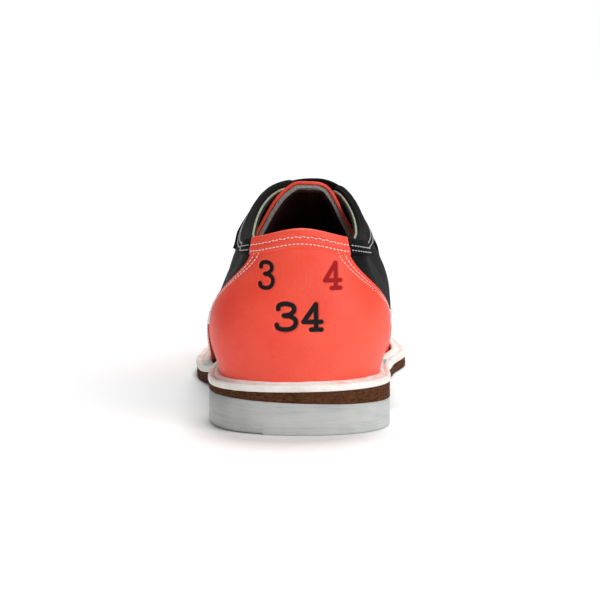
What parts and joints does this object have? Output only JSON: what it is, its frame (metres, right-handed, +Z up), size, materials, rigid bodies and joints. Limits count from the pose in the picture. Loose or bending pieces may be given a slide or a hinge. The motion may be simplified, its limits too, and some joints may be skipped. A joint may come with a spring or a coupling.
{
  "type": "bowling shoe",
  "caption": "Left bowling shoe with a stacked leather and rubber sole, coral heel and toe, black sides, a padded tongue and hook-and-loop straps.",
  "frame": {"origin": "under the middle of the whole shoe, on the floor", "axes": "+Y from heel to toe, +X to the medial (inner) side, +Z up"},
  "size_m": [0.0818, 0.2368, 0.0789],
  "materials": {
    "coral_leather": "smooth coral leather, lightly creased",
    "black_upper": "black synthetic leather with a fine grain",
    "black_webbing": "black woven webbing with double stitching",
    "white_stripe": "white coated leather",
    "heel_rubber": "pale grey moulded rubber",
    "welt_rubber": "off-white rubber welt with a stitched groove",
    "sole_leather": "raw-edged brown fibrous leather",
    "steel": "plain steel",
    "fibre_board": "pressed fibre board",
    "felt": "grey felt and foam",
    "lining_cloth": "dark woven lining"
  },
  "bodies": {
    "shoe": {"heel_block": "heel_rubber", "leather_sole": "sole_leather", "heel_nail_1": "steel", "heel_nail_2": "steel", "heel_nail_3": "steel", "heel_nail_4": "steel", "heel_nail_5": "steel", "welt": "welt_rubber", "bottom_filler": "fibre_board", "shank": "steel", "insole_board": "fibre_board", "sock_liner": "felt", "quarter_lining": "lining_cloth", "vamp_lining": "lining_cloth", "counter_stiffener": "fibre_board", "toe_puff": "fibre_board", "collar_padding": "felt", "quarter_medial": "black_upper", "quarter_lateral": "black_upper", "vamp": "coral_leather", "heel_foxing": "coral_leather", "heel_binding": "coral_leather", "facing_medial": "black_webbing", "facing_lateral": "black_webbing", "side_stripe_medial": "white_stripe", "side_stripe_lateral": "white_stripe", "strap_base_upper": "black_webbing", "loop_patch_upper": "black_webbing", "strap_base_lower": "black_webbing", "loop_patch_lower": "black_webbing"},
    "upper_strap": {"strap_upper": "black_webbing", "hook_patch_upper": "black_webbing"},
    "lower_strap": {"strap_lower": "black_webbing", "hook_patch_lower": "black_webbing"},
    "tongue": {"tongue_face": "black_upper", "tongue_padding": "felt", "tongue_lining": "lining_cloth", "tongue_binding": "coral_leather"}
  },
  "joints": [
    {"name": "upper_strap_hinge", "type": "hinge", "parent": "shoe", "child": "upper_strap", "pos_m": [0.02893, 0.00255, 0.04823], "axis": [-0.1923, 0.9806, 0.0389], "range_deg": [0, 130]},
    {"name": "lower_strap_hinge", "type": "hinge", "parent": "shoe", "child": "lower_strap", "pos_m": [0.02818, 0.02859, 0.042], "axis": [-0.1601, 0.986, 0.046], "range_deg": [0, 130]},
    {"name": "tongue_hinge", "type": "hinge", "parent": "shoe", "child": "tongue", "pos_m": [0.0055, 0.0385, 0.046], "axis": [1, 0, 0], "range_deg": [0, 8]}
  ]
}
